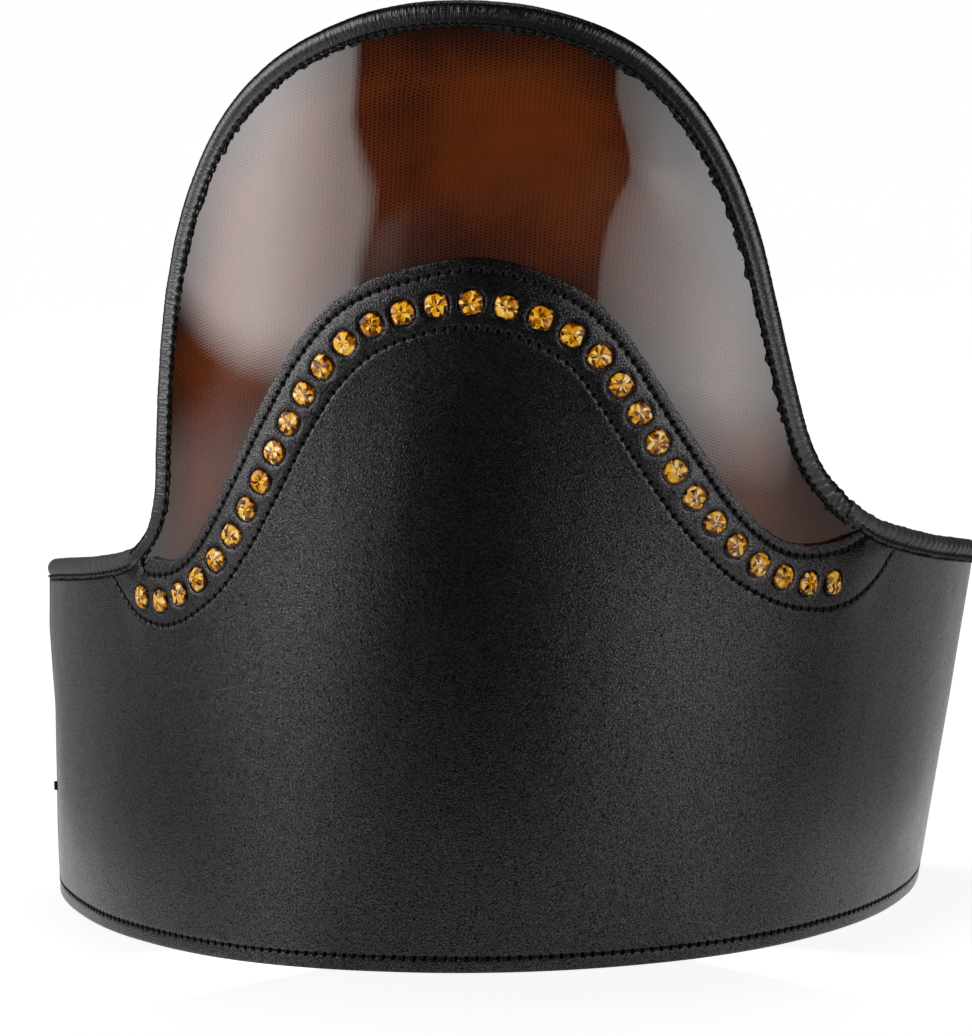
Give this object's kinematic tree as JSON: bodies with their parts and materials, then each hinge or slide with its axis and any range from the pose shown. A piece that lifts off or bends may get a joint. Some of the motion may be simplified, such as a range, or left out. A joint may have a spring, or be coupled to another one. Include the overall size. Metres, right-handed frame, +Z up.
{
  "type": "riding boot crown",
  "caption": "Curved crown for the top of a tall riding boot: black calf band, high brown patent panel, crystal row along a wave, corded edge, open at the back.",
  "frame": {"origin": "on the floor under the middle of the part's box, which stands on its lower edge", "axes": "+X across the shell to the viewer's right, +Y from the closed front to the open back, +Z up"},
  "size_m": [0.2399, 0.1589, 0.2286],
  "materials": {
    "calf_leather": "black smooth calf leather, fine pebble grain, satin",
    "patent_leather": "brown brush-off patent leather with a fine woven emboss, high gloss, darker at the rim",
    "lining_leather": "thin black lining leather, matte",
    "binding_leather": "soft black binding leather, finely wrinkled, semi-gloss",
    "thread": "black twisted polyester sewing thread",
    "crystal": "amber cut glass, foiled back",
    "cup_metal": "blackened pressed metal",
    "board": "grey-brown leather fibre board",
    "tape": "black woven reinforcing tape",
    "cord": "natural laid cotton piping cord"
  },
  "bodies": {
    "root": {"lining": "lining_leather", "shaft_board": "board", "crown_board": "board", "crown_leather": "patent_leather", "shaft_leather": "calf_leather", "crystal_tape": "tape", "crystal_cups": "cup_metal", "crystals": "crystal", "edge_cord": "cord", "crown_binding": "binding_leather", "left_shoulder_binding": "binding_leather", "right_shoulder_binding": "binding_leather", "hem_needle_thread": "thread", "hem_bobbin_thread": "thread", "band_upper_thread": "thread", "band_lower_thread": "thread", "crown_needle_thread": "thread", "crown_bobbin_thread": "thread", "left_shoulder_thread": "thread", "right_shoulder_thread": "thread", "left_shoulder_bobbin_thread": "thread", "right_shoulder_bobbin_thread": "thread", "end_tacks": "thread"}
  },
  "joints": []
}
